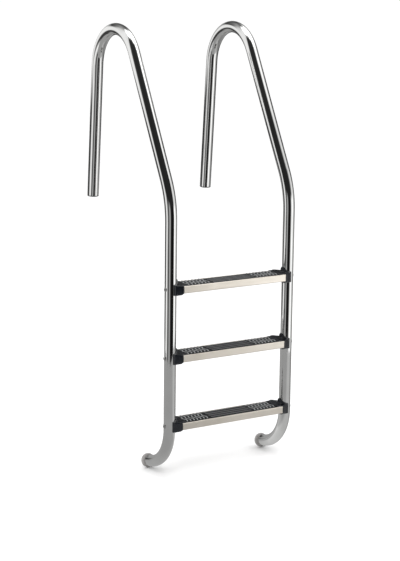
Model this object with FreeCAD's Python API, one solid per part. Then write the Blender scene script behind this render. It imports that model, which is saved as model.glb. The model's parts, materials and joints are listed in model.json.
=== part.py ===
import FreeCAD, Part
import math
import os

# Pool ladder for an in-ground pool: two bent stainless rails carry three bolted treads.
#
# Frame: +Z is up and +X runs along the treads, from the left rail to the right rail as seen
# from the water. -Y points at the water and +Y at the deck. The origin lies midway between
# the lower ends of the two deck legs, which stand in the deck anchors.

Vector = FreeCAD.Vector

# ---- driving dimensions, millimetres and degrees ----
TUBE_OD = 43.0
TUBE_WALL = 1.5
RAIL_SPACING = 500.0          # centre to centre

LEG_LENGTH = 495.0            # straight deck leg
LEG_LEAN = 4.3                # the deck leg leans towards the water as it rises
HAND_BEND_RADIUS = 147.0      # hairpin that the hand holds
SLOPE_LENGTH = 483.0
SLOPE_ANGLE = 28.25           # slope to the vertical
KNEE_RADIUS = 300.0
STRINGER_LENGTH = 754.0
FOOT_BEND_RADIUS = 156.0
FOOT_TURN = 77.3              # the foot curls back towards the pool wall
FOOT_LENGTH = 18.0             # straight end that takes the bumper

TREAD_COUNT = 3
TREAD_PITCH = 250.0
TOP_TREAD_Z = -243.0          # standing surface of the top tread
TREAD_FRONT = -38.0           # front skirt, from the stringer's axis
TREAD_BACK = 56.0             # back skirt, from the stringer's axis
SKIRT_HEIGHT = 26.0
SHEET = 1.2
NOSE_WIDTH = 5.0              # steel land in front of and behind the mat
RECESS_DEPTH = 3.0
RETURN_LIP = 9.0
SKIRT_BEND = 1.4              # inside radius of the long folds
RECESS_BEND = 0.3             # inside radius at the edge of the mat's recess
RECESS_STEP = 0.8             # how far the recess wall slopes
PAN_HALF_LENGTH = 216.0

MAT_HALF_LENGTH = 195.0
MAT_BASE = 2.8
RIB_HEIGHT = 2.2
RIB_WIDTH = 4.5
RIB_MARGIN = 8.0              # first zig-zag rib, from the end of the mat
RIB_INSET = 2.5               # ribs stop this far from the long edges
WAVE_RIBS_PER_SIDE = 7
WAVE_RIB_PITCH = 14.0
WAVE_RIB_SWING = 8.0
WAVE_FOLDS = 4
LONG_RIBS = 4
LONG_RIB_SHARE = 0.3          # half width of a long rib, as a share of its pitch
LONG_RIB_HALF_LENGTH = 88.0

CAP_LIP = 1.4                 # the cap stands this far proud of the pan
CAP_TOP = 3.0
CAP_BOTTOM = -34.0
CAP_TONGUE = 20.0             # how far the cap reaches over the recess
CAP_PLUG_DEPTH = 24.0
CAP_WALL = 3.0                # wall of the hollow plug
CAP_FLARE = 13.0              # the sides of the cap slope in over this width near the bottom
CAP_LAND = 5.0                # flush with the pan before it narrows to the tube
CAP_HAUNCH = 9.0              # the back of the cap is this much wider than the collar
EAR_SETBACK = 7.0             # from the tube's axis back to where the cap's sides meet the ears
COLLAR_THICKNESS = 4.6
COLLAR_WRAP = 90.0            # degrees each way round the tube from the inner side
COLLAR_TOP = 21.0             # rim at the inner side of the tube
COLLAR_EAR_TOP = 3.0          # rim at the ends of the ears, in front and behind
COLLAR_SHOULDER = 5.0         # half width of the level stretch of the rim
FIT_GAP = 0.1
SADDLE_GAP = 0.05

BOLT_Z = -13.0                # below the standing surface
BOLT_RADIUS = 4.0
BOLT_HOLE_RADIUS = 4.3
BOLT_HEAD_RADIUS = 6.5
BOLT_HEAD_HEIGHT = 3.2
BOLT_TIP = 196.0
HEX_SOCKET_FLATS = 4.0
HEX_SOCKET_DEPTH = 2.2
WASHER_RADIUS = 7.8
WASHER_THICKNESS = 1.0
NUT_FLATS = 13.0
NUT_HEIGHT = 6.5
NUT_SEAT = 206.0              # the nut bears on the cap here
NUT_GAP = 0.3

BUMPER_RADIUS = 26.0
BUMPER_LENGTH = 26.0
BUMPER_FACE_RADIUS = 14.0      # the head's flat face, inside its rounded edge
BUMPER_LIP_RADIUS = 23.5
BUMPER_LIP = 3.5               # the lip that covers the tube's end is this thick
BUMPER_LIP_EDGE = 0.8
BUMPER_GROOVE_RADIUS = 20.0
BUMPER_GROOVE = 2.5            # groove between the lip and the head
BUMPER_SHANK_LENGTH = 17.0
BUMPER_BORE_RADIUS = 9.0

END_PLUG_FLANGE = 4.0
END_PLUG_EDGE = 2.5
END_PLUG_LENGTH = 30.0
END_PLUG_WALL = 3.0

SCREW_RADIUS = 2.0
SCREW_HEAD_RADIUS = 4.2
SCREW_HEAD_HEIGHT = 2.4
SCREW_LENGTH = 11.0
SCREW_SETBACK = 10.0          # from the end of the tube

# ---- derived ----
TUBE_R = TUBE_OD / 2
BORE_R = TUBE_R - TUBE_WALL
HALF_SPACING = RAIL_SPACING / 2
SIDES = {"left": -1, "right": 1}
TREAD_NAMES = ["top", "middle", "bottom"]


# ---- helpers ----
def rounded_wire(corners, radii):
    """Closed planar wire through the corners, each rounded with its own radius."""
    count = len(corners)
    pieces = []
    for i in range(count):
        corner = corners[i]
        if radii[i] == 0:
            pieces.append((corner, None, corner))
            continue
        to_last = (corners[i - 1] - corner).normalize()
        to_next = (corners[(i + 1) % count] - corner).normalize()
        half = to_last.getAngle(to_next) / 2
        inward = (to_last + to_next).normalize()
        run = radii[i] / math.tan(half)
        centre = corner + inward * (radii[i] / math.sin(half))
        pieces.append((corner + to_last * run, centre - inward * radii[i], corner + to_next * run))
    edges = []
    for i in range(count):
        start = pieces[i - 1][2]
        first, middle, last = pieces[i]
        if start.distanceToPoint(first) > 1e-6:
            edges.append(Part.LineSegment(start, first).toShape())
        if middle is not None:
            edges.append(Part.Arc(first, middle, last).toShape())
    return Part.Wire(edges)


def prism(corners, radii, sweep):
    """Solid from a rounded planar outline, swept along a vector."""
    return Part.Face(rounded_wire(corners, radii)).extrude(sweep)


def along_x(outline, radii, x_start, x_end):
    """Solid with a constant (y, z) outline between two x positions."""
    corners = [Vector(x_start, y, z) for y, z in outline]
    return prism(corners, radii, Vector(x_end - x_start, 0, 0))


def folded_strip(path, thickness, bends):
    """Outline and radii of a folded sheet: the path is its outer skin, in (y, z)."""
    normals = []
    for (y0, z0), (y1, z1) in zip(path, path[1:]):
        length = math.hypot(y1 - y0, z1 - z0)
        normals.append(((z1 - z0) / length, -(y1 - y0) / length))
    inner = []
    outer_radii = []
    inner_radii = []
    for i, (y, z) in enumerate(path):
        before = normals[max(i - 1, 0)]
        after = normals[min(i, len(normals) - 1)]
        scale = thickness / (1 + before[0] * after[0] + before[1] * after[1])
        inner.append((y + (before[0] + after[0]) * scale, z + (before[1] + after[1]) * scale))
        turn = before[0] * after[1] - before[1] * after[0]
        if abs(turn) < 1e-9:
            outer_radii.append(0)
            inner_radii.append(0)
        elif turn < 0:
            outer_radii.append(bends[i] + thickness)
            inner_radii.append(bends[i])
        else:
            outer_radii.append(bends[i])
            inner_radii.append(bends[i] + thickness)
    return path + inner[::-1], outer_radii + inner_radii[::-1]


def hexagon(flats, x, y, z, sweep):
    """Hexagonal prism along X with its first corner up."""
    radius = flats / math.sqrt(3)
    corners = []
    for i in range(6):
        angle = math.radians(60 * i)
        corners.append(Vector(x, y + radius * math.sin(angle), z + radius * math.cos(angle)))
    return prism(corners, [0] * 6, Vector(sweep, 0, 0))


def revolved(profile, base, axis):
    """Solid of revolution from (radius, distance along the axis) points or arcs."""
    side = axis.cross(Vector(1, 0, 0)).normalize()

    def place(point):
        return base + side * point[0] + axis * point[1]

    edges = []
    start = profile[0]
    for step in profile[1:] + [profile[0]]:
        if len(step) == 2:
            edges.append(Part.LineSegment(place(start), place(step)).toShape())
            start = step
        else:
            edges.append(Part.Arc(place(start), place(step[:2]), place(step[2:])).toShape())
            start = step[2:]
    return Part.Face(Part.Wire(edges)).revolve(base, axis, 360)


# ---- rail route ----
class Route:
    """Centre line of a rail in its own plane; the heading is measured from +Z to the water."""

    def __init__(self, x):
        self.x = x
        self.out = 0.0
        self.up = 0.0
        self.heading = LEG_LEAN
        self.edges = []

    def point(self):
        return Vector(self.x, -self.out, self.up)

    def direction(self):
        angle = math.radians(self.heading)
        return Vector(0, -math.sin(angle), math.cos(angle))

    def straight(self, length):
        start = self.point()
        angle = math.radians(self.heading)
        self.out += length * math.sin(angle)
        self.up += length * math.cos(angle)
        self.edges.append(Part.LineSegment(start, self.point()).toShape())

    def bend(self, radius, turn):
        points = [self.point()]
        for _ in range(2):
            before = math.radians(self.heading)
            self.heading += turn / 2
            after = math.radians(self.heading)
            self.out += radius * (math.cos(before) - math.cos(after))
            self.up += radius * (math.sin(after) - math.sin(before))
            points.append(self.point())
        self.edges.append(Part.Arc(*points).toShape())


def rail_route(x):
    """The whole centre line, and the place of the stringer and of the foot."""
    route = Route(x)
    route.straight(LEG_LENGTH)
    route.bend(HAND_BEND_RADIUS, 180 - SLOPE_ANGLE - LEG_LEAN)
    route.straight(SLOPE_LENGTH)
    route.bend(KNEE_RADIUS, SLOPE_ANGLE)
    stringer_top = route.point()
    route.straight(STRINGER_LENGTH)
    route.bend(FOOT_BEND_RADIUS, FOOT_TURN)
    route.straight(FOOT_LENGTH)
    return route, stringer_top


STRINGER_Y = rail_route(0)[1].y


def bent_rod(route, radius):
    """Solid round rod along the whole centre line."""
    foot_of_leg = Route(route.x)
    ring = Part.Circle(foot_of_leg.point(), foot_of_leg.direction(), radius).toShape()
    return Part.Wire(route.edges).makePipe(Part.Face(Part.Wire([ring])))


def tread_z(index):
    return TOP_TREAD_Z - index * TREAD_PITCH


# ---- rails ----
def rail(side):
    """Hollow bent tube with the bolt holes of the treads drilled through both walls."""
    x = side * HALF_SPACING
    route = rail_route(x)[0]
    tube = bent_rod(route, TUBE_R).cut(bent_rod(route, BORE_R))
    drills = []
    for index in range(TREAD_COUNT):
        base = Vector(x - TUBE_OD, STRINGER_Y, tread_z(index) + BOLT_Z)
        drills.append(Part.makeCylinder(BOLT_HOLE_RADIUS, 2 * TUBE_OD, base, Vector(1, 0, 0)))
    drills.append(screw_hole(route))
    return tube.cut(Part.makeCompound(drills))


def foot_frame(route):
    """End of the tube, its outward axis, and the direction of its underside."""
    axis = route.direction()
    under = Vector(1, 0, 0).cross(axis)
    if under.z > 0:
        under = under * -1
    return route.point(), axis, under


def screw_seat(route):
    """Where the retaining screw's axis meets the tube's outer skin, and its direction in."""
    end, axis, under = foot_frame(route)
    return end - axis * SCREW_SETBACK + under * TUBE_R, under * -1


def screw_hole(route):
    seat, inward = screw_seat(route)
    return Part.makeCylinder(SCREW_RADIUS + FIT_GAP, 2 * TUBE_WALL + 2, seat - inward * 2, inward)


# ---- fittings of the rails ----
def wall_bumper(side):
    """Rubber buffer: a round head that rests on the pool wall, a groove, a lip and a shank."""
    route = rail_route(side * HALF_SPACING)[0]
    end, axis, _ = foot_frame(route)
    shank = BORE_R - FIT_GAP
    lip_edge = BUMPER_LIP_EDGE * (1 - math.sqrt(0.5))
    head_base = BUMPER_LIP + BUMPER_GROOVE
    heel = BUMPER_RADIUS - BUMPER_GROOVE_RADIUS
    dome = BUMPER_RADIUS - BUMPER_FACE_RADIUS
    profile = [
        (BUMPER_BORE_RADIUS, -BUMPER_SHANK_LENGTH),
        (shank - 1.5, -BUMPER_SHANK_LENGTH),
        (shank, -BUMPER_SHANK_LENGTH + 1.5),
        (shank, 0),
        (BUMPER_LIP_RADIUS, 0),
        (BUMPER_LIP_RADIUS, BUMPER_LIP - BUMPER_LIP_EDGE),
        (BUMPER_LIP_RADIUS - lip_edge, BUMPER_LIP - lip_edge,
         BUMPER_LIP_RADIUS - BUMPER_LIP_EDGE, BUMPER_LIP),
        (BUMPER_GROOVE_RADIUS, BUMPER_LIP),
        (BUMPER_GROOVE_RADIUS, head_base),
        (BUMPER_GROOVE_RADIUS + heel * math.sqrt(0.5), head_base + heel * (1 - math.sqrt(0.5)),
         BUMPER_RADIUS, head_base + heel),
        (BUMPER_RADIUS, BUMPER_LENGTH - dome),
        (BUMPER_FACE_RADIUS + dome * math.sqrt(0.5), BUMPER_LENGTH - dome * (1 - math.sqrt(0.5)),
         BUMPER_FACE_RADIUS, BUMPER_LENGTH),
        (0, BUMPER_LENGTH),
        (0, 0),
        (BUMPER_BORE_RADIUS, 0),
    ]
    body = revolved(profile, end, axis)
    seat, inward = screw_seat(route)
    return body.cut(Part.makeCylinder(SCREW_RADIUS, SCREW_LENGTH + 1, seat, inward))


def deck_end_plug(side):
    """Plastic plug that closes the lower end of a deck leg."""
    route = Route(side * HALF_SPACING)
    base = route.point()
    down = route.direction() * -1
    shank = BORE_R - FIT_GAP
    edge = END_PLUG_EDGE * (1 - math.sqrt(0.5))
    profile = [
        (shank - END_PLUG_WALL, -END_PLUG_LENGTH),
        (shank - 1.0, -END_PLUG_LENGTH),
        (shank, -END_PLUG_LENGTH + 1.0),
        (shank, 0),
        (TUBE_R, 0),
        (TUBE_R, END_PLUG_FLANGE - END_PLUG_EDGE),
        (TUBE_R - edge, END_PLUG_FLANGE - edge, TUBE_R - END_PLUG_EDGE, END_PLUG_FLANGE),
        (0, END_PLUG_FLANGE),
        (0, 0),
        (shank - END_PLUG_WALL, 0),
    ]
    return revolved(profile, base, down)


def bumper_screws():
    """The two pan-head screws that hold the bumpers in the tubes."""
    solids = []
    for side in SIDES.values():
        seat, inward = screw_seat(rail_route(side * HALF_SPACING)[0])
        crown_radius = SCREW_HEAD_RADIUS * 0.35
        profile = [
            (0, SCREW_LENGTH),
            (SCREW_RADIUS * 0.4, SCREW_LENGTH),
            (SCREW_RADIUS, SCREW_LENGTH - 3),
            (SCREW_RADIUS, 0),
            (SCREW_HEAD_RADIUS, 0),
            (SCREW_HEAD_RADIUS, -0.6),
            (SCREW_HEAD_RADIUS * 0.8, -SCREW_HEAD_HEIGHT * 0.78, crown_radius, -SCREW_HEAD_HEIGHT),
            (0, -SCREW_HEAD_HEIGHT),
        ]
        solids.append(revolved(profile, seat, inward))
    return Part.makeCompound(solids)


# ---- treads ----
def pan_path():
    """Outer skin of the folded pan across the tread, from the front lip to the back lip."""
    step = RECESS_STEP
    front = TREAD_FRONT
    back = TREAD_BACK
    return [
        (front + RETURN_LIP, -SKIRT_HEIGHT),
        (front, -SKIRT_HEIGHT),
        (front, 0),
        (front + NOSE_WIDTH, 0),
        (front + NOSE_WIDTH + step, -RECESS_DEPTH),
        (back - NOSE_WIDTH - step, -RECESS_DEPTH),
        (back - NOSE_WIDTH, 0),
        (back, 0),
        (back, -SKIRT_HEIGHT),
        (back - RETURN_LIP, -SKIRT_HEIGHT),
    ]


def tread_pan(z):
    bends = [SKIRT_BEND] * 3 + [RECESS_BEND] * 4 + [SKIRT_BEND] * 3
    outline, radii = folded_strip(pan_path(), SHEET, bends)
    pan = along_x(outline, radii, -PAN_HALF_LENGTH, PAN_HALF_LENGTH)
    return pan.translated(Vector(0, STRINGER_Y, z))


def wave_rib(x_centre, y_front, y_back, z):
    """A zig-zag rib that crosses the mat from front to back."""
    near = []
    far = []
    for i in range(WAVE_FOLDS + 1):
        y = y_front + (y_back - y_front) * i / WAVE_FOLDS
        swing = WAVE_RIB_SWING / 2 if i % 2 else -WAVE_RIB_SWING / 2
        near.append(Vector(x_centre + swing - RIB_WIDTH / 2, y, z))
        far.append(Vector(x_centre + swing + RIB_WIDTH / 2, y, z))
    corners = near + far[::-1]
    return prism(corners, [0] * len(corners), Vector(0, 0, RIB_HEIGHT))


def tread_mat(z):
    """Moulded mat: wavy ribs on both sides and long ribs in the middle."""
    margin = NOSE_WIDTH + 1.0
    front = TREAD_FRONT + margin
    back = TREAD_BACK - margin
    half = MAT_HALF_LENGTH
    floor = -RECESS_DEPTH
    top = floor + MAT_BASE
    corners = [
        Vector(-half, front, floor),
        Vector(half, front, floor),
        Vector(half, back, floor),
        Vector(-half, back, floor),
    ]
    mat = prism(corners, [1.5] * 4, Vector(0, 0, MAT_BASE))
    ribs = []
    for side in SIDES.values():
        for i in range(WAVE_RIBS_PER_SIDE):
            x = side * (half - RIB_MARGIN - i * WAVE_RIB_PITCH)
            ribs.append(wave_rib(x, front + RIB_INSET, back - RIB_INSET, top))
    spacing = (back - front - 2 * RIB_INSET) / LONG_RIBS
    for i in range(LONG_RIBS):
        y = front + RIB_INSET + spacing * (i + 0.5)
        half_width = spacing * LONG_RIB_SHARE
        corners = [
            Vector(-LONG_RIB_HALF_LENGTH, y - half_width, top),
            Vector(LONG_RIB_HALF_LENGTH, y - half_width, top),
            Vector(LONG_RIB_HALF_LENGTH, y + half_width, top),
            Vector(-LONG_RIB_HALF_LENGTH, y + half_width, top),
        ]
        ribs.append(prism(corners, [1.5] * 4, Vector(0, 0, RIB_HEIGHT)))
    return mat.fuse(ribs).removeSplitter().translated(Vector(0, STRINGER_Y, z))


def cap_collar():
    """Half collar that hugs the tube; its rim falls from the inner side to the two ears."""
    outer = TUBE_R + COLLAR_THICKNESS
    axis = Vector(HALF_SPACING, 0, CAP_BOTTOM)
    height = COLLAR_TOP - CAP_BOTTOM
    up = Vector(0, 0, 1)
    sector = Part.makeCylinder(outer, height, axis, up, 2 * COLLAR_WRAP)
    sector.rotate(axis, up, 180 - COLLAR_WRAP)
    x_start = HALF_SPACING - 2 * outer
    shoulder = COLLAR_SHOULDER
    slopes = []
    for sign in (-1, 1):
        corners = [
            Vector(x_start, sign * shoulder, COLLAR_TOP),
            Vector(x_start, sign * outer, COLLAR_EAR_TOP),
            Vector(x_start, sign * 2 * outer, COLLAR_EAR_TOP),
            Vector(x_start, sign * 2 * outer, COLLAR_TOP + 1),
            Vector(x_start, sign * shoulder, COLLAR_TOP + 1),
        ]
        slopes.append(prism(corners, [0] * 5, Vector(4 * outer, 0, 0)))
    return sector.cut(slopes)


def tread_cap():
    """Right-hand end cap about the stringer's axis: plug, closing wall, tongue and collar."""
    inner_front = TREAD_FRONT + SHEET + FIT_GAP
    inner_back = TREAD_BACK - SHEET - FIT_GAP
    recess = -RECESS_DEPTH - SHEET - FIT_GAP
    lip = RETURN_LIP + FIT_GAP
    plug_floor = -SKIRT_HEIGHT + SHEET + FIT_GAP
    wall = CAP_WALL
    plug = [
        (inner_front, plug_floor),
        (inner_back, plug_floor),
        (inner_back, recess),
        (inner_front, recess),
    ]
    plug_start = PAN_HALF_LENGTH - CAP_PLUG_DEPTH
    body = along_x(plug, [2.0] * 4, plug_start, PAN_HALF_LENGTH)
    pocket = [
        (inner_front + wall, plug_floor + wall),
        (inner_back - wall, plug_floor + wall),
        (inner_back - wall, recess - wall),
        (inner_front + wall, recess - wall),
    ]
    core = along_x(pocket, [1.0] * 4, plug_start, PAN_HALF_LENGTH - wall)
    boss_half = NUT_FLATS / 2 + 3.5
    boss = [
        (-boss_half, plug_floor + 1),
        (boss_half, plug_floor + 1),
        (boss_half, recess - 1),
        (-boss_half, recess - 1),
    ]
    core = core.cut(along_x(boss, [0] * 4, plug_start, PAN_HALF_LENGTH))
    body = body.cut(core)

    outer_front = TREAD_FRONT - CAP_LIP
    outer_back = TREAD_BACK + CAP_LIP
    end = [
        (outer_front, -SKIRT_HEIGHT),
        (outer_front + CAP_FLARE, CAP_BOTTOM),
        (outer_back - CAP_FLARE, CAP_BOTTOM),
        (outer_back, -SKIRT_HEIGHT),
        (outer_back, CAP_TOP),
        (outer_front, CAP_TOP),
    ]
    closing = along_x(end, [4.0, 5.0, 5.0, 4.0, 5.0, 5.0], PAN_HALF_LENGTH, HALF_SPACING)
    ear_x = HALF_SPACING - EAR_SETBACK
    ear_y = TUBE_R + COLLAR_THICKNESS
    plan = [
        (PAN_HALF_LENGTH, outer_front),
        (PAN_HALF_LENGTH + CAP_LAND, outer_front),
        (ear_x, -ear_y),
        (HALF_SPACING, 0),
        (ear_x + 1, ear_y),
        (ear_x + 1, ear_y + CAP_HAUNCH),
        (PAN_HALF_LENGTH + 2 * CAP_LAND, outer_back),
        (PAN_HALF_LENGTH, outer_back),
    ]
    corners = [Vector(x, y, CAP_BOTTOM - 1) for x, y in plan]
    height = CAP_TOP - CAP_BOTTOM + 2
    keep = prism(corners, [0, 4.0, 0, 0, 0, 6.0, 8.0, 0], Vector(0, 0, height))
    closing = closing.common(keep)

    margin = NOSE_WIDTH + 1.0
    tongue = [
        (TREAD_FRONT + margin, -RECESS_DEPTH),
        (TREAD_BACK - margin, -RECESS_DEPTH),
        (TREAD_BACK - margin, CAP_TOP),
        (TREAD_FRONT + margin, CAP_TOP),
    ]
    tongue_start = PAN_HALF_LENGTH - CAP_TONGUE
    cover = along_x(tongue, [0, 0, 2.5, 2.5], tongue_start, PAN_HALF_LENGTH)

    cap = body.fuse([closing, cover, cap_collar()])
    bolt_base = Vector(plug_start - 1, 0, BOLT_Z)
    bolt_way = Part.makeCylinder(BOLT_HOLE_RADIUS, 100, bolt_base, Vector(1, 0, 0))
    nut_pocket = hexagon(
        NUT_FLATS + 2 * NUT_GAP, plug_start - 1, 0, BOLT_Z, NUT_SEAT - plug_start + 1
    )
    return cap.cut([bolt_way, nut_pocket])


def placed_cap(side, z):
    """A cap at its own end of a tread, hollowed to the rail; the left is a mirror image."""
    cap = tread_cap()
    if side < 0:
        cap = cap.mirror(Vector(0, 0, 0), Vector(1, 0, 0))
    cap = cap.translated(Vector(0, STRINGER_Y, z))
    hollow = bent_rod(rail_route(side * HALF_SPACING)[0], TUBE_R + SADDLE_GAP)
    return cap.cut(hollow).removeSplitter()


def fastener_pair(make_right, z):
    """Left and right copies of a fastener that lies on the bolt's axis."""
    right = make_right()
    left = right.mirror(Vector(0, 0, 0), Vector(1, 0, 0))
    pair = Part.makeCompound([left, right])
    return pair.translated(Vector(0, STRINGER_Y, z + BOLT_Z))


def bolt():
    """Button-head bolt that enters from the outer side of the rail."""
    seat = HALF_SPACING + TUBE_R + WASHER_THICKNESS
    crown = (BOLT_HEAD_RADIUS * 0.72, BOLT_HEAD_HEIGHT * 0.78, BOLT_HEAD_RADIUS * 0.45)
    profile = [
        (0, BOLT_TIP - seat),
        (BOLT_RADIUS - 0.8, BOLT_TIP - seat),
        (BOLT_RADIUS, BOLT_TIP - seat + 0.8),
        (BOLT_RADIUS, 0),
        (BOLT_HEAD_RADIUS, 0),
        (BOLT_HEAD_RADIUS, 0.8),
        (crown[0], crown[1], crown[2], BOLT_HEAD_HEIGHT),
        (0, BOLT_HEAD_HEIGHT),
    ]
    head_end = Vector(seat, 0, 0)
    outward = Vector(0, 0, 1)
    shape = revolved(profile, Vector(0, 0, 0), outward)
    shape.rotate(Vector(0, 0, 0), Vector(0, 1, 0), 90)
    shape = shape.translated(head_end)
    depth_start = seat + BOLT_HEAD_HEIGHT - HEX_SOCKET_DEPTH
    return shape.cut(hexagon(HEX_SOCKET_FLATS, depth_start, 0, 0, HEX_SOCKET_DEPTH + 1))


def saddle_washer():
    """Washer with one face hollowed to sit on the tube."""
    seat = HALF_SPACING + TUBE_R + WASHER_THICKNESS
    reach = 5.0
    disc = Part.makeCylinder(WASHER_RADIUS, reach, Vector(seat - reach, 0, 0), Vector(1, 0, 0))
    tube = Part.makeCylinder(TUBE_R, 60, Vector(HALF_SPACING, 0, -30), Vector(0, 0, 1))
    base = Vector(seat - 2 * reach, 0, 0)
    hole = Part.makeCylinder(BOLT_HOLE_RADIUS, 4 * reach, base, Vector(1, 0, 0))
    return disc.cut([tube, hole])


def nut():
    """Hexagon nut in the pocket of the cap."""
    body = hexagon(NUT_FLATS, NUT_SEAT - NUT_HEIGHT, 0, 0, NUT_HEIGHT)
    base = Vector(NUT_SEAT - 2 * NUT_HEIGHT, 0, 0)
    return body.cut(Part.makeCylinder(BOLT_RADIUS, 4 * NUT_HEIGHT, base, Vector(1, 0, 0)))


# ---- all sub-parts ----
def all_nodes():
    nodes = {"bumper_screws": bumper_screws()}
    for name, side in SIDES.items():
        nodes["rail_" + name] = rail(side)
        nodes["wall_bumper_" + name] = wall_bumper(side)
        nodes["deck_end_plug_" + name] = deck_end_plug(side)
    for index in range(TREAD_COUNT):
        z = tread_z(index)
        prefix = TREAD_NAMES[index] + "_tread_"
        nodes[prefix + "pan"] = tread_pan(z)
        nodes[prefix + "mat"] = tread_mat(z)
        for name, side in SIDES.items():
            nodes[prefix + "cap_" + name] = placed_cap(side, z)
        nodes[prefix + "bolts"] = fastener_pair(bolt, z)
        nodes[prefix + "saddle_washers"] = fastener_pair(saddle_washer, z)
        nodes[prefix + "nuts"] = fastener_pair(nut, z)
    return nodes


os.makedirs("parts", exist_ok=True)
for node, shape in all_nodes().items():
    box = shape.BoundBox
    print(
        f"{node}: solids {len(shape.Solids)} valid {shape.isValid()} volume {shape.Volume:.0f}"
        f" x {box.XMin:.1f}..{box.XMax:.1f} y {box.YMin:.1f}..{box.YMax:.1f}"
        f" z {box.ZMin:.1f}..{box.ZMax:.1f}"
    )
    shape.exportStep(f"parts/{node}.step")
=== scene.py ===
import json
import math

import bmesh
import bpy
from mathutils import Matrix, Vector


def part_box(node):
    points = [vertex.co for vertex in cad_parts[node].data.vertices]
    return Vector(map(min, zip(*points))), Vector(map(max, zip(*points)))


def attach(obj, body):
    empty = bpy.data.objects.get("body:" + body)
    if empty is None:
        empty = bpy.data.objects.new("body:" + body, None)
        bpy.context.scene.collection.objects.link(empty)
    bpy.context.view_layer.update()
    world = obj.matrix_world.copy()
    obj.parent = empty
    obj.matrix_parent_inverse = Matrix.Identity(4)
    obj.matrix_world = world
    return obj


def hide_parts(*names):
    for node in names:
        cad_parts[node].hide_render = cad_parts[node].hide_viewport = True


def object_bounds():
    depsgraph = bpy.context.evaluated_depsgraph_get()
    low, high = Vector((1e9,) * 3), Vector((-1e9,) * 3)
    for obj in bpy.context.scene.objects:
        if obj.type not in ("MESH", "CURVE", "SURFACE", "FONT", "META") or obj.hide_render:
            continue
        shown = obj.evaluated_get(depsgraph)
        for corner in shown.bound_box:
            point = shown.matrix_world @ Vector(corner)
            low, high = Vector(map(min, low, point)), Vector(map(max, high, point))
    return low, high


# Looks of a pool ladder: two mirror-polished rails, three treads of folded steel with a moulded
# anti-slip mat, moulded end caps, rubber wall bumpers and their fasteners. Everything is in metres.

MM = 0.001
SIDES = ("left", "right")
TREADS = ("top", "middle", "bottom")

# ---- camera ----
CAMERA_AIM = Vector((0.062, -0.2715, -0.313))
CAMERA_DISTANCE = 6.055
CAMERA_AZIMUTH = 31.9            # degrees from +Y towards +X
CAMERA_TILT = 11.87              # degrees below the horizontal
CAMERA_ROLL = 0.68               # degrees that the camera leans to its left
CAMERA_LENS = 102.7              # focal length in millimetres
CAMERA_REACH = 500.0

# ---- mat relief ----
SLAB_EDGE = 0.7 * MM
SHARP_ANGLE = 40                 # degrees from which an edge of the mat stays crisp
RELIEF_INSET = 3.0 * MM          # from the mat's long edges to the ends of the zig-zag ribs
RIB_HEIGHT = 2.2 * MM
RIB_PROFILE = (                  # across in half widths, and up in heights, over the slab's top
    (-1.0, -0.25), (-0.92, 0.25), (-0.72, 0.72), (-0.42, 0.96), (0.0, 1.0),
    (0.42, 0.96), (0.72, 0.72), (0.92, 0.25), (1.0, -0.25),
)
WAVE_RIBS_PER_SIDE = 7
WAVE_RIB_WIDTH = 4.8 * MM
WAVE_RIB_PITCH = 14.0 * MM
WAVE_RIB_MARGIN = 8.0 * MM       # from the mat's end to the middle of the first zig-zag rib
WAVE_SWING = 8.0 * MM
WAVE_FOLDS = 4
FOLD_ROUNDING = 0.18             # share of each leg of the zig-zag that is rounded off
FOLD_STEPS = 4
LONG_RIBS = 4
LONG_RIB_HALF_LENGTH = 88.0 * MM
LONG_RIB_SHARE = 0.72            # width of a long rib, as a share of the spacing

# ---- painted glints on the mat ----
# Painted highlight: the rib tops are painted light grey in place of the glints that light would
# give them.
GLINT_ON_LONG_RIBS = 0.22         # against 1 on the zig-zag ribs
ZIG_ZAG_START = 0.23             # from the mat's middle, as shares of its length
ZIG_ZAG_FULL = 0.25
RIB_TOP_START = 0.80             # shares of the mat's height
RIB_TOP_FULL = 0.97

# ---- caps ----
CAP_VOXEL = 1.1 * MM
SMOOTH_FACTOR = 0.5
CAP_SMOOTH_PASSES = 14           # on the whole cap
BODY_SMOOTH_PASSES = 24          # more of them on the body alone
COLLAR_HALF_WIDTH = 26.0 * MM
BODY_START = 32.0 * MM           # from this distance to the rail's axis on they work in full

# ---- procedural materials ----
NOISE_LOW = 0.3                  # noise stays between these two values nearly everywhere
NOISE_HIGH = 0.7

# ---- floor, world and lights ----
FLOOR_HALF_SIZE = 80.0
FLOOR_TILES = 8
FLOOR_GAP = 0.5 * MM             # between the floor and the ladder's lowest point
WORLD_STRENGTH = 1.12
LIGHT_SIZE = 2.4
LIGHTS = (                       # name, place, watts
    ("key", Vector((-2.2, -3.0, 3.2)), 60.0),
    ("fill", Vector((3.0, -1.5, 2.0)), 30.0),
    ("back", Vector((0.5, 3.2, 2.6)), 30.0),
)

# ---- reflection studio ----
STUDIO_RADIUS = 2.0
STUDIO_TOP = 3.0
RING_STEPS = 360

# The studio's brightness is a list of (angle, value) stops; the angle goes round the ladder, from
# the side where the camera stands towards the camera's right. White soft boxes stand on both
# sides, with a dark gap at the camera and grey or dark walls behind the ladder.
LOW_WALL = (
    (-180, 0.05), (-132, 0.05), (-118, 0.05), (-96, 0.05), (-88, 0.25), (-80, 0.75),
    (-72, 1.15), (-60, 0.75), (-50, 0.40), (-44, 0.06), (-30, 0.06), (-24, 0.42), (-10, 0.42),
    (-3, 0.02), (38, 0.00), (46, 0.35), (54, 0.90), (62, 1.30), (80, 1.20), (92, 0.48),
    (108, 0.38), (122, 0.10), (136, 0.05), (180, 0.05),
)
BACK_ANGLE = 130                 # beyond this angle is the wall behind the ladder
BACK_GREY = 0.36
FOOT_WALL = tuple(
    (angle, BACK_GREY if abs(angle) > BACK_ANGLE else value) for angle, value in LOW_WALL
)
MIDDLE_WALL = (
    (-180, 0.08), (-152, 0.10), (-138, 0.95), (-68, 0.95), (-58, 0.08), (-50, 0.02), (50, 0.02),
    (60, 0.30), (70, 0.95), (96, 0.70), (108, 0.30), (118, 0.04), (180, 0.04),
)
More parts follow.
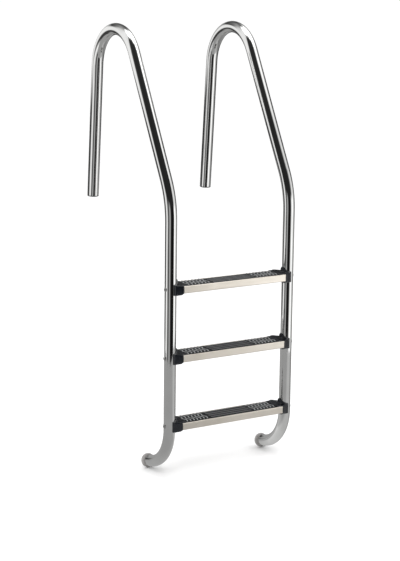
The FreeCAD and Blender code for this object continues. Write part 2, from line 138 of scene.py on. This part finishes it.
UPPER_WALL = (
    (-180, 0.42), (-150, 0.42), (-138, 0.95), (-68, 0.95), (-58, 0.08), (-50, 0.02), (50, 0.02),
    (60, 0.30), (70, 0.95), (96, 0.70), (108, 0.30), (118, 0.04), (140, 0.06), (155, 0.42),
    (180, 0.42),
)
HIGH_WALL = (
    (-180, 0.04), (-122, 0.06), (-108, 0.80), (-90, 0.95), (-68, 0.85), (-58, 0.05), (-30, 0.02),
    (50, 0.02), (62, 0.30), (72, 1.05), (100, 0.85), (125, 0.35), (140, 0.04), (180, 0.04),
)
CEILING_RIM = (
    (-180, 0.10), (-120, 0.40), (-90, 0.95), (-66, 0.85), (-56, 0.03), (46, 0.03), (58, 0.95),
    (90, 3.00), (150, 3.00), (170, 0.50), (180, 0.10),
)
CEILING_MIDDLE = (
    (-180, 3.00), (-90, 3.50), (-40, 2.00), (-22, 0.15), (18, 0.15), (35, 2.00), (100, 4.00),
    (180, 3.00),
)
CEILING_CENTRE = ((-180, 4.50), (180, 4.50))
GROUND = (
    (-180, 0.35), (-90, 0.35), (-20, 0.34), (30, 0.35), (50, 0.50), (80, 0.50), (100, 0.30),
    (120, 0.22), (180, 0.30),
)
WALL_RINGS = (                   # height and brightness, from the floor's own ring upwards
    (-0.40, FOOT_WALL), (-0.15, LOW_WALL), (0.15, LOW_WALL), (0.40, MIDDLE_WALL),
    (0.70, UPPER_WALL), (1.10, UPPER_WALL), (1.45, HIGH_WALL), (STUDIO_TOP, CEILING_RIM),
)
CENTRE_SHARE = 0.005             # the smallest ring's radius, as a share of the studio's
CEILING_RINGS = (                # radius, as a share of the studio's, and brightness
    (1.0, CEILING_RIM), (0.6, CEILING_RIM), (0.3, CEILING_MIDDLE), (CENTRE_SHARE, CEILING_CENTRE),
)
GROUND_RINGS = (                 # radius, as a share, and gain: the ground is lit under the ladder
    (CENTRE_SHARE, 1.6), (0.22, 1.0), (1.0, 1.0),
)

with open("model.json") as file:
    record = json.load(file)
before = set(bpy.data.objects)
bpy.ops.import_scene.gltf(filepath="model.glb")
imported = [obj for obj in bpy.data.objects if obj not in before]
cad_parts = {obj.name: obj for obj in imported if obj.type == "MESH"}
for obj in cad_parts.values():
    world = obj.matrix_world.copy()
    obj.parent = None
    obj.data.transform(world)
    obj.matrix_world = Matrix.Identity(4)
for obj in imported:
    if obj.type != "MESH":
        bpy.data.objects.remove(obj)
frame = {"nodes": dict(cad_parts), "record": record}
cad_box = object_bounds()


# ---- procedural materials ----
class Finish:
    """A material with one Principled shader, and short calls for the nodes that feed it.

    across and height go from 0 to 1 over the piece's own box, along X and Z.
    """

    def __init__(self, name, **values):
        self.material = bpy.data.materials.new(name)
        self.material.use_nodes = True
        self.tree = self.material.node_tree
        self.shader = self.tree.nodes["Principled BSDF"]
        for socket, value in values.items():
            self.shader.inputs[socket.replace("_", " ")].default_value = value
        coordinates = self.tree.nodes.new("ShaderNodeTexCoord")
        self.place = coordinates.outputs["Object"]
        split = self.tree.nodes.new("ShaderNodeSeparateXYZ")
        self.link(coordinates.outputs["Generated"], split.inputs["Vector"])
        self.across = split.outputs["X"]
        self.height = split.outputs["Z"]

    def link(self, source, target):
        self.tree.links.new(source, target)

    def stretched(self, scale):
        mapping = self.tree.nodes.new("ShaderNodeMapping")
        mapping.inputs["Scale"].default_value = scale
        self.link(self.place, mapping.inputs["Vector"])
        return mapping.outputs["Vector"]

    def noise(self, scale, detail=3.0, roughness=0.5, stretch=(1, 1, 1)):
        node = self.tree.nodes.new("ShaderNodeTexNoise")
        node.inputs["Scale"].default_value = scale
        node.inputs["Detail"].default_value = detail
        node.inputs["Roughness"].default_value = roughness
        self.link(self.stretched(stretch), node.inputs["Vector"])
        return node.outputs["Fac"]

    def mapped(self, value, low, high, start=NOISE_LOW, stop=NOISE_HIGH):
        node = self.tree.nodes.new("ShaderNodeMapRange")
        node.inputs["From Min"].default_value = start
        node.inputs["From Max"].default_value = stop
        node.inputs["To Min"].default_value = low
        node.inputs["To Max"].default_value = high
        self.link(value, node.inputs["Value"])
        return node.outputs["Result"]

    def ramp(self, value, stops):
        node = self.tree.nodes.new("ShaderNodeValToRGB")
        ramp = node.color_ramp
        while len(ramp.elements) < len(stops):
            ramp.elements.new(0.5)
        for element, (position, colour) in zip(ramp.elements, stops):
            element.position = position
            element.color = (*colour, 1.0)
        self.link(value, node.inputs["Fac"])
        return node.outputs["Color"]

    def maths(self, operation, *values):
        node = self.tree.nodes.new("ShaderNodeMath")
        node.operation = operation
        for socket, value in zip(node.inputs, values):
            if isinstance(value, (int, float)):
                socket.default_value = value
            else:
                self.link(value, socket)
        return node.outputs["Value"]

    def blended(self, share, first, second):
        node = self.tree.nodes.new("ShaderNodeMix")
        node.data_type = "RGBA"
        self.link(share, node.inputs["Factor"])
        self.link(first, node.inputs["A"])
        self.link(second, node.inputs["B"])
        return node.outputs["Result"]

    def bump(self, height, strength, distance):
        node = self.tree.nodes.new("ShaderNodeBump")
        node.inputs["Strength"].default_value = strength
        node.inputs["Distance"].default_value = distance
        self.link(height, node.inputs["Height"])
        self.link(node.outputs["Normal"], self.shader.inputs["Normal"])

    def feed(self, socket, source):
        self.link(source, self.shader.inputs[socket])


def polished_tube():
    """Mirror-polished stainless steel with a faint haze and orange peel."""
    steel = Finish("polished_tube", Metallic=1.0)
    cloud = steel.noise(9.0, detail=4.0)
    steel.feed("Base Color", steel.ramp(cloud, [
        (0.3, (0.80, 0.80, 0.79)),
        (0.7, (0.88, 0.88, 0.87)),
    ]))
    haze = steel.noise(260.0, detail=5.0, roughness=0.7)
    steel.feed("Roughness", steel.mapped(haze, 0.025, 0.085))
    peel = steel.maths("MULTIPLY_ADD", haze, 0.05, steel.noise(38.0, detail=1.0))
    steel.bump(peel, 0.05, 0.6 * MM)
    return steel.material


def tread_sheet():
    """Satin stainless sheet, brushed along the tread."""
    steel = Finish("tread_sheet", Metallic=1.0)
    grain = steel.noise(240.0, detail=6.0, roughness=0.7, stretch=(0.03, 1, 1))
    cloud = steel.noise(14.0, detail=3.0)
    steel.feed("Base Color", steel.ramp(cloud, [
        (0.25, (0.850, 0.788, 0.692)),
        (0.75, (0.940, 0.882, 0.792)),
    ]))
    steel.feed("Roughness", steel.mapped(grain, 0.26, 0.42))
    steel.bump(grain, 0.12, 0.2 * MM)
    return steel.material


def mat_plastic():
    """Black moulded plastic with a fine grain; the tops of the ribs are painted light grey as
    painted glints.
    """
    plastic = Finish("mat_plastic", Specular_IOR_Level=0.4)
    grain = plastic.noise(120.0, detail=5.0, roughness=0.65)
    clean = plastic.ramp(grain, [
        (0.35, (0.002, 0.003, 0.004)),
        (0.70, (0.008, 0.009, 0.011)),
    ])
    # Painted highlight: light grey painted on the rib tops in place of glints.
    painted_glint_grey = plastic.ramp(grain, [
        (0.30, (0.200, 0.208, 0.212)),
        (0.70, (0.560, 0.570, 0.572)),
    ])
    from_middle = plastic.maths("ABSOLUTE", plastic.maths("SUBTRACT", plastic.across, 0.5))
    zig_zag = plastic.mapped(from_middle, GLINT_ON_LONG_RIBS, 1.0, ZIG_ZAG_START, ZIG_ZAG_FULL)
    rib_top = plastic.mapped(plastic.height, 0.0, 1.0, RIB_TOP_START, RIB_TOP_FULL)
    # Where the painted glints go: rib tops, full on the zig-zag ribs and weaker on the long ribs.
    wear_and_painted_glint = plastic.maths("MULTIPLY", zig_zag, rib_top)
    plastic.feed("Base Color", plastic.blended(wear_and_painted_glint, clean, painted_glint_grey))
    plastic.feed("Roughness", plastic.mapped(grain, 0.30, 0.50))
    plastic.bump(plastic.noise(1500.0, detail=2.0), 0.25, 0.12 * MM)
    return plastic.material


def cap_plastic():
    """Black injection-moulded plastic, smoother and bluer than the mat."""
    plastic = Finish("cap_plastic", Specular_IOR_Level=0.7)
    cloud = plastic.noise(60.0, detail=4.0)
    plastic.feed("Base Color", plastic.ramp(cloud, [
        (0.3, (0.003, 0.004, 0.006)),
        (0.7, (0.007, 0.009, 0.013)),
    ]))
    plastic.feed("Roughness", plastic.mapped(cloud, 0.14, 0.26))
    plastic.bump(plastic.noise(1100.0, detail=3.0), 0.18, 0.1 * MM)
    return plastic.material


def buffer_rubber():
    """Grey rubber with a dull, mottled bloom."""
    rubber = Finish("buffer_rubber", Specular_IOR_Level=0.35)
    bloom = rubber.noise(70.0, detail=5.0, roughness=0.6)
    rubber.feed("Base Color", rubber.ramp(bloom, [
        (0.3, (0.255, 0.245, 0.240)),
        (0.7, (0.340, 0.330, 0.325)),
    ]))
    rubber.feed("Roughness", rubber.mapped(bloom, 0.55, 0.75))
    rubber.bump(rubber.noise(900.0, detail=3.0), 0.3, 0.15 * MM)
    return rubber.material


def plug_plastic():
    """Dark plug in the end of a deck leg."""
    plastic = Finish("plug_plastic", Specular_IOR_Level=0.45)
    cloud = plastic.noise(90.0, detail=4.0)
    plastic.feed("Base Color", plastic.ramp(cloud, [
        (0.3, (0.020, 0.020, 0.022)),
        (0.7, (0.045, 0.045, 0.048)),
    ]))
    plastic.feed("Roughness", plastic.mapped(cloud, 0.38, 0.55))
    plastic.bump(plastic.noise(1000.0, detail=3.0), 0.2, 0.12 * MM)
    return plastic.material


def fastener_steel():
    """Turned and tumbled stainless steel of the fasteners."""
    steel = Finish("fastener_steel", Metallic=1.0)
    wear_and_painted_glint = steel.noise(420.0, detail=5.0, roughness=0.6)
    steel.feed("Base Color", steel.ramp(wear_and_painted_glint, [
        (0.3, (0.52, 0.52, 0.51)),
        (0.7, (0.68, 0.68, 0.67)),
    ]))
    steel.feed("Roughness", steel.mapped(wear_and_painted_glint, 0.20, 0.38))
    steel.bump(wear_and_painted_glint, 0.15, 0.1 * MM)
    return steel.material


MAKERS = (
    polished_tube,
    tread_sheet,
    mat_plastic,
    cap_plastic,
    buffer_rubber,
    plug_plastic,
    fastener_steel,
)
MATERIALS = {maker.__name__: maker() for maker in MAKERS}
NODE_SLOTS = {row["node"]: row["material_slot"] for row in frame["record"]["subparts"]}


def finish_with(piece, slot):
    piece.data.materials.clear()
    piece.data.materials.append(MATERIALS[slot])


# ---- pieces ----
def place_piece(name, mesh, node):
    """A new piece that stands for a CAD node and takes its finish."""
    piece = bpy.data.objects.new(name, mesh)
    bpy.context.collection.objects.link(piece)
    slot = NODE_SLOTS[node]
    finish_with(piece, slot)
    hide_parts(node)
    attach(piece, "root")
    return piece


def shade_smooth(mesh, angle):
    """Smooth shading with the edges sharper than the angle kept crisp."""
    mesh.shade_smooth()
    mesh.set_sharp_from_angle(angle=math.radians(angle))


def apply_modifiers(piece):
    """Puts the result of the modifiers in the piece's own mesh."""
    graph = bpy.context.evaluated_depsgraph_get()
    result = bpy.data.meshes.new_from_object(piece.evaluated_get(graph))
    piece.modifiers.clear()
    piece.data = result


def rounded_slab(bm, low, high, rounding):
    """Box with all its edges rounded, in a mesh that is still empty."""
    corners = bmesh.ops.create_cube(bm, size=1.0)["verts"]
    for corner in corners:
        for axis in range(3):
            corner.co[axis] = high[axis] if corner.co[axis] > 0 else low[axis]
    bmesh.ops.bevel(
        bm, geom=bm.edges[:], offset=rounding, segments=3, profile=0.5, affect="EDGES"
    )


def rounded_path(points, share):
    """The path with each inner corner replaced by a short quadratic curve."""
    path = [points[0]]
    for before, corner, after in zip(points, points[1:], points[2:]):
        start = corner.lerp(before, share)
        stop = corner.lerp(after, share)
        for step in range(FOLD_STEPS + 1):
            t = step / FOLD_STEPS
            path.append(start.lerp(corner, t).lerp(corner.lerp(stop, t), t))
    path.append(points[-1])
    return path


def rib(bm, path, width, floor):
    """Moulded rib along a flat path, with a rounded top, square ends and its foot in the slab."""
    rings = []
    last = len(path) - 1
    for i, point in enumerate(path):
        along = (path[min(i + 1, last)] - path[max(i - 1, 0)]).normalized()
        across = Vector((along.y, -along.x, 0))
        ring = []
        for offset, rise in RIB_PROFILE:
            spot = point + across * (offset * width / 2)
            ring.append(bm.verts.new((spot.x, spot.y, floor + rise * RIB_HEIGHT)))
        rings.append(ring)
    for here, there in zip(rings, rings[1:]):
        for i in range(len(here)):
            j = (i + 1) % len(here)
            bm.faces.new((here[i], here[j], there[j], there[i]))
    bm.faces.new(rings[0][::-1])
    bm.faces.new(rings[-1])


def tread_mat(tread):
    """Mat in its recess: zig-zag ribs at both ends, long smooth ribs in the middle."""
    node = tread + "_tread_mat"
    low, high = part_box(node)
    top = high.z - RIB_HEIGHT
    bm = bmesh.new()
    rounded_slab(bm, low, Vector((high.x, high.y, top)), SLAB_EDGE)
    front = low.y + RELIEF_INSET
    back = high.y - RELIEF_INSET
    for side in (-1, 1):
        for i in range(WAVE_RIBS_PER_SIDE):
            x = side * (high.x - WAVE_RIB_MARGIN - i * WAVE_RIB_PITCH)
            corners = []
            for fold in range(WAVE_FOLDS + 1):
                swing = WAVE_SWING / 2 * (1 if fold % 2 else -1)
                y = front + (back - front) * fold / WAVE_FOLDS
                corners.append(Vector((x + swing, y, 0)))
            rib(bm, rounded_path(corners, FOLD_ROUNDING), WAVE_RIB_WIDTH, top)
    spacing = (back - front) / LONG_RIBS
    for i in range(LONG_RIBS):
        y = front + spacing * (i + 0.5)
        ends = [Vector((-LONG_RIB_HALF_LENGTH, y, 0)), Vector((LONG_RIB_HALF_LENGTH, y, 0))]
        rib(bm, ends, spacing * LONG_RIB_SHARE, top)
    bmesh.ops.recalc_face_normals(bm, faces=bm.faces)
    mesh = bpy.data.meshes.new(tread + "_anti_slip_mat")
    bm.to_mesh(mesh)
    bm.free()
    shade_smooth(mesh, SHARP_ANGLE)
    place_piece(tread + "_anti_slip_mat", mesh, node)


def mark_body(cap, axis_y):
    """Vertex group of the cap's body: full away from the collar round the rail, nothing on it."""
    group = cap.vertex_groups.new(name="body")
    for vertex in cap.data.vertices:
        reach = abs(vertex.co.y - axis_y)
        weight = (reach - COLLAR_HALF_WIDTH) / (BODY_START - COLLAR_HALF_WIDTH)
        group.add([vertex.index], min(max(weight, 0.0), 1.0), "REPLACE")


def moulded_cap(tread, side):
    """End cap with the soft collar and the full, rounded body of a moulding."""
    node = f"{tread}_tread_cap_{side}"
    mesh = frame["nodes"][node].data.copy()
    cap = place_piece(f"{tread}_moulded_cap_{side}", mesh, node)
    remesh = cap.modifiers.new("voxels", "REMESH")
    remesh.mode = "VOXEL"
    remesh.voxel_size = CAP_VOXEL
    remesh.use_smooth_shade = True
    apply_modifiers(cap)
    bolts_low, bolts_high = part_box(f"{tread}_tread_bolts")
    mark_body(cap, (bolts_low.y + bolts_high.y) / 2)
    for name, passes, group in (
        ("soften", CAP_SMOOTH_PASSES, ""),
        ("round_body", BODY_SMOOTH_PASSES, "body"),
    ):
        smooth = cap.modifiers.new(name, "SMOOTH")
        smooth.factor = SMOOTH_FACTOR
        smooth.iterations = passes
        smooth.vertex_group = group
    apply_modifiers(cap)
    cap.vertex_groups.clear()
    finish_with(cap, NODE_SLOTS[node])


# ---- studio ----
def direction_of(azimuth):
    """Level direction at an angle from the camera's side of the ladder, towards its right."""
    angle = math.radians(azimuth)
    toward = math.radians(CAMERA_AZIMUTH)
    back = Vector((-math.sin(toward), -math.cos(toward), 0))
    right = Vector((math.cos(toward), -math.sin(toward), 0))
    return back * math.cos(angle) + right * math.sin(angle)


def brightness(stops, angle):
    """Value between the two nearest (angle, value) stops."""
    for (angle_a, value_a), (angle_b, value_b) in zip(stops, stops[1:]):
        if angle <= angle_b:
            t = (angle - angle_a) / (angle_b - angle_a)
            return value_a + (value_b - value_a) * t
    return stops[-1][1]


def glow_material(name):
    """Plain light of the brightness painted on the mesh."""
    material = bpy.data.materials.new(name)
    material.use_nodes = True
    tree = material.node_tree
    tree.nodes.clear()
    paint = tree.nodes.new("ShaderNodeAttribute")
    paint.attribute_name = "glow"
    glow = tree.nodes.new("ShaderNodeEmission")
    out = tree.nodes.new("ShaderNodeOutputMaterial")
    tree.links.new(paint.outputs["Color"], glow.inputs["Color"])
    tree.links.new(glow.outputs["Emission"], out.inputs["Surface"])
    return material


def only_in_reflections(stage):
    stage.visible_camera = False
    stage.visible_diffuse = False
    stage.visible_transmission = False
    stage.visible_shadow = False


def painted_stage(name, rings):
    """Round sheet through rings of (point, brightness), seen only in reflections."""
    bm = bmesh.new()
    paint = bm.verts.layers.float_color.new("glow")
    grid = []
    for ring in rings:
        line = []
        for point, value in ring:
            vertex = bm.verts.new(point)
            vertex[paint] = (value, value, value, 1)
            line.append(vertex)
        grid.append(line)
    for lower, upper in zip(grid, grid[1:]):
        for i in range(len(lower)):
            j = (i + 1) % len(lower)
            bm.faces.new((lower[i], lower[j], upper[j], upper[i]))
    mesh = bpy.data.meshes.new(name)
    bm.to_mesh(mesh)
    bm.free()
    stage = bpy.data.objects.new(name, mesh)
    bpy.context.collection.objects.link(stage)
    mesh.materials.append(glow_material(name))
    only_in_reflections(stage)


def reflection_studio(centre, floor_z):
    """Round studio of soft boxes, dark flags and a grey floor that the polished steel mirrors."""
    angles = [-180 + 360 * i / RING_STEPS for i in range(RING_STEPS)]

    def ring(share, z, stops, gain=1.0):
        row = []
        for angle in angles:
            spot = centre + direction_of(angle) * (STUDIO_RADIUS * share)
            row.append((Vector((spot.x, spot.y, z)), brightness(stops, angle) * gain))
        return row

    walls = [ring(1.0, floor_z, FOOT_WALL)]
    walls += [ring(1.0, z, stops) for z, stops in WALL_RINGS]
    painted_stage("studio_walls", walls)
    ceiling = [ring(share, STUDIO_TOP, stops) for share, stops in CEILING_RINGS]
    painted_stage("studio_ceiling", ceiling)
    ground = [ring(share, floor_z, GROUND, gain) for share, gain in GROUND_RINGS]
    painted_stage("studio_ground", ground)


def pale_floor(z):
    """Wide, plain, pale floor that the ladder stands on."""
    bm = bmesh.new()
    bmesh.ops.create_grid(bm, x_segments=FLOOR_TILES, y_segments=FLOOR_TILES, size=FLOOR_HALF_SIZE)
    mesh = bpy.data.meshes.new("pale_floor")
    bm.to_mesh(mesh)
    bm.free()
    floor = bpy.data.objects.new("pale_floor", mesh)
    floor.location.z = z
    bpy.context.collection.objects.link(floor)
    paper = Finish("floor_paper", Roughness=0.9, Specular_IOR_Level=0.2)
    paper.feed("Base Color", paper.ramp(paper.noise(3.0), [
        (0.0, (0.90, 0.90, 0.90)),
        (1.0, (0.92, 0.92, 0.92)),
    ]))
    mesh.materials.append(paper.material)
    floor.visible_glossy = False


def soft_light(name, place, aim, watts):
    lamp = bpy.data.lights.new(name, "AREA")
    lamp.shape = "DISK"
    lamp.size = LIGHT_SIZE
    lamp.energy = watts
    light = bpy.data.objects.new(name, lamp)
    light.location = place
    light.rotation_euler = (aim - place).to_track_quat("-Z", "Y").to_euler()
    light.visible_glossy = False
    bpy.context.collection.objects.link(light)


def pale_world():
    world = bpy.data.worlds.new("pale_world")
    world.use_nodes = True
    background = world.node_tree.nodes["Background"]
    background.inputs["Color"].default_value = (1.0, 1.0, 1.0, 1.0)
    background.inputs["Strength"].default_value = WORLD_STRENGTH
    bpy.context.scene.world = world


def add_camera():
    azimuth = math.radians(CAMERA_AZIMUTH)
    tilt = math.radians(CAMERA_TILT)
    forward = Vector((
        math.sin(azimuth) * math.cos(tilt), math.cos(azimuth) * math.cos(tilt), -math.sin(tilt)
    ))
    right = forward.cross(Vector((0, 0, 1))).normalized()
    up = right.cross(forward)
    turn = Matrix.Rotation(math.radians(CAMERA_ROLL), 3, -forward)
    right = turn @ right
    up = turn @ up
    lens = bpy.data.cameras.new("camera")
    lens.lens = CAMERA_LENS
    lens.clip_end = CAMERA_REACH
    camera = bpy.data.objects.new("camera", lens)
    axes = Matrix((right, up, -forward)).transposed().to_4x4()
    camera.matrix_world = Matrix.Translation(CAMERA_AIM - forward * CAMERA_DISTANCE) @ axes
    bpy.context.collection.objects.link(camera)
    bpy.context.scene.camera = camera


# ---- build ----
add_camera()
for node, piece in frame["nodes"].items():
    finish_with(piece, NODE_SLOTS[node])
for tread in TREADS:
    tread_mat(tread)
    for side in SIDES:
        moulded_cap(tread, side)

middle = (cad_box[0] + cad_box[1]) / 2
ground_z = cad_box[0].z - FLOOR_GAP
pale_floor(ground_z)
reflection_studio(Vector((middle.x, middle.y, 0)), ground_z)
pale_world()
for name, place, watts in LIGHTS:
    soft_light(name, place, middle, watts)
bpy.context.scene.view_settings.view_transform = "Standard"
